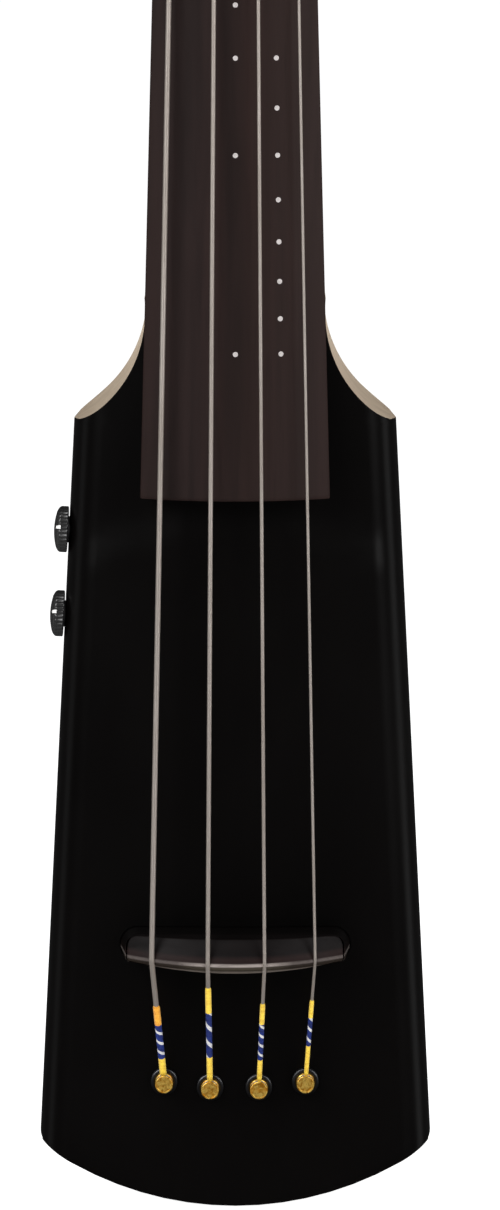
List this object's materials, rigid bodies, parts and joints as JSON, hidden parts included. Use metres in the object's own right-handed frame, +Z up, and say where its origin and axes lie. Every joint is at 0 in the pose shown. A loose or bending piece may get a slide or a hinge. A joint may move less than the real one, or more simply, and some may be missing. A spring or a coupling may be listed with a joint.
{
  "type": "electric upright bass",
  "caption": "Slim solid-body electric upright bass: black body with scooped shoulders, long unfretted ebony board, arched bridge, side knobs and worm-gear tuners.",
  "frame": {"origin": "mouth of the threaded stand hole, in the flat back of the body", "axes": "+Z up along the neck, +X to the right seen from the front, the front faces -Y and the stand's stud leaves along +Y"},
  "size_m": [0.1784, 0.1017, 1.387],
  "materials": {
    "black_lacquer": "black satin lacquer over a maple body",
    "natural_maple": "natural maple, satin",
    "ebony_board": "oiled ebony",
    "ebony_bridge": "dark ebony, satin",
    "ebony_nut": "oiled ebony",
    "pearl": "polished pearl",
    "truss_steel": "drawn steel",
    "brass": "turned brass",
    "black_steel": "blackened steel",
    "piezo": "fired ceramic",
    "cable_jacket": "smooth jacket",
    "wound_steel": "flat-wound steel",
    "silk": "thread wrap, blue with yellow ends",
    "black_plastic": "fine moulded texture",
    "steel_screw": "machined steel",
    "zinc": "plated steel",
    "board_green": "solder mask",
    "hookup_wire": "smooth jacket",
    "knob_black": "satin moulded plastic",
    "nickel": "nickel plate",
    "plate_steel": "powder coat",
    "aged_brass": "aged brass plate",
    "tuner_nickel": "satin nickel"
  },
  "bodies": {
    "instrument": {"body": "black_lacquer", "neck": "natural_maple", "fingerboard": "ebony_board", "nut": "ebony_nut", "position_dots": "pearl", "truss_rod": "truss_steel", "bridge": "ebony_bridge", "bridge_inserts": "brass", "bridge_bolts": "black_steel", "pickup_elements": "piezo", "pickup_cables": "cable_jacket", "string_anchors": "black_steel", "ball_ends": "brass", "string_e": "wound_steel", "string_a": "wound_steel", "string_d": "wound_steel", "string_g": "wound_steel", "string_silks": "silk", "control_cover": "black_plastic", "control_cover_screws": "steel_screw", "potentiometers": "zinc", "pot_washers": "zinc", "pot_nuts": "zinc", "circuit_board": "board_green", "wiring": "hookup_wire", "jack_body": "black_plastic", "jack_nut": "nickel", "jack_plate": "black_plastic", "jack_plate_screws": "steel_screw", "stand_plate": "plate_steel", "stand_plate_screws": "steel_screw", "tuner_plates": "aged_brass", "tuner_plate_screws": "aged_brass"},
    "volume_control": {"volume_shaft": "zinc", "volume_knob": "knob_black", "knob_set_screw_volume": "steel_screw"},
    "tone_control": {"tone_shaft": "zinc", "tone_knob": "knob_black", "knob_set_screw_tone": "steel_screw"},
    "truss_nut": {"truss_rod_nut": "brass"},
    "drum_e": {"tuner_roller_e": "zinc", "tuner_gear_e": "brass", "string_winding_e": "wound_steel"},
    "key_e": {"tuner_worm_e": "tuner_nickel", "tuner_key_e": "tuner_nickel"},
    "drum_a": {"tuner_roller_a": "zinc", "tuner_gear_a": "brass", "string_winding_a": "wound_steel"},
    "key_a": {"tuner_worm_a": "tuner_nickel", "tuner_key_a": "tuner_nickel"},
    "drum_d": {"tuner_roller_d": "zinc", "tuner_gear_d": "brass", "string_winding_d": "wound_steel"},
    "key_d": {"tuner_worm_d": "tuner_nickel", "tuner_key_d": "tuner_nickel"},
    "drum_g": {"tuner_roller_g": "zinc", "tuner_gear_g": "brass", "string_winding_g": "wound_steel"},
    "key_g": {"tuner_worm_g": "tuner_nickel", "tuner_key_g": "tuner_nickel"}
  },
  "joints": [
    {"name": "volume_turn", "type": "hinge", "parent": "instrument", "child": "volume_control", "pos_m": [-0.07544, -0.025, 0.1305], "axis": [-0.9988, 0, 0.0493], "range_deg": [-140, 140]},
    {"name": "tone_turn", "type": "hinge", "parent": "instrument", "child": "tone_control", "pos_m": [-0.07735, -0.025, 0.092], "axis": [-0.9988, 0, 0.0493], "range_deg": [-140, 140]},
    {"name": "truss_nut_turn", "type": "hinge", "parent": "instrument", "child": "truss_nut", "pos_m": [0, -0.051, 1.025], "axis": [0, 0, 1], "range_deg": [-180, 180]},
    {"name": "drum_turn_e", "type": "hinge", "parent": "instrument", "child": "drum_e", "pos_m": [0, -0.038, 1.055], "axis": [1, 0, 0], "continuous": true},
    {"name": "key_turn_e", "type": "hinge", "parent": "instrument", "child": "key_e", "pos_m": [-0.0365, -0.038, 1.04], "axis": [0, 1, 0], "continuous": true},
    {"name": "drum_turn_a", "type": "hinge", "parent": "instrument", "child": "drum_a", "pos_m": [0, -0.038, 1.115], "axis": [1, 0, 0], "continuous": true},
    {"name": "key_turn_a", "type": "hinge", "parent": "instrument", "child": "key_a", "pos_m": [-0.0365, -0.038, 1.1], "axis": [0, 1, 0], "continuous": true},
    {"name": "drum_turn_d", "type": "hinge", "parent": "instrument", "child": "drum_d", "pos_m": [0, -0.038, 1.14], "axis": [1, 0, 0], "continuous": true},
    {"name": "key_turn_d", "type": "hinge", "parent": "instrument", "child": "key_d", "pos_m": [0.0365, -0.038, 1.125], "axis": [0, 1, 0], "continuous": true},
    {"name": "drum_turn_g", "type": "hinge", "parent": "instrument", "child": "drum_g", "pos_m": [0, -0.038, 1.08], "axis": [1, 0, 0], "continuous": true},
    {"name": "key_turn_g", "type": "hinge", "parent": "instrument", "child": "key_g", "pos_m": [0.0365, -0.038, 1.065], "axis": [0, 1, 0], "continuous": true}
  ],
  "couplings": [
    {"joint": "key_turn_e", "follows": "drum_turn_e", "ratio": -20},
    {"joint": "key_turn_a", "follows": "drum_turn_a", "ratio": -20},
    {"joint": "key_turn_d", "follows": "drum_turn_d", "ratio": -20},
    {"joint": "key_turn_g", "follows": "drum_turn_g", "ratio": -20}
  ]
}
